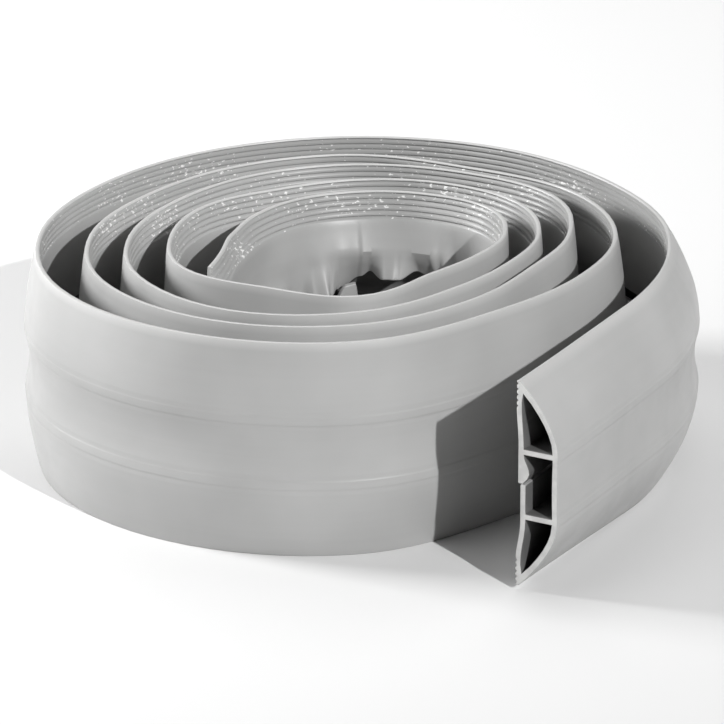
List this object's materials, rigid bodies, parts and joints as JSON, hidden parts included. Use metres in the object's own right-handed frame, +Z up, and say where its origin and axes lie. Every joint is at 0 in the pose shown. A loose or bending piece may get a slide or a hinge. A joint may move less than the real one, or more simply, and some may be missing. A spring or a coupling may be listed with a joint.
{
  "type": "floor cord cover",
  "caption": "Domed flexible floor cord cover with a slit flat base and three cable channels, wound into a loose coil standing on edge, with one straight free end.",
  "frame": {"origin": "centre of the coil's and free end's footprint, on the floor that the coil stands on", "axes": "+Z up across the strip's width, the straight free end runs along +X from its cut end, and its flat base faces +Y"},
  "size_m": [0.2966, 0.3048, 0.097],
  "materials": {
    "strip_plastic": "satin light grey flexible plastic"
  },
  "bodies": {
    "root": {"cord_cover_strip": "strip_plastic"}
  },
  "joints": []
}
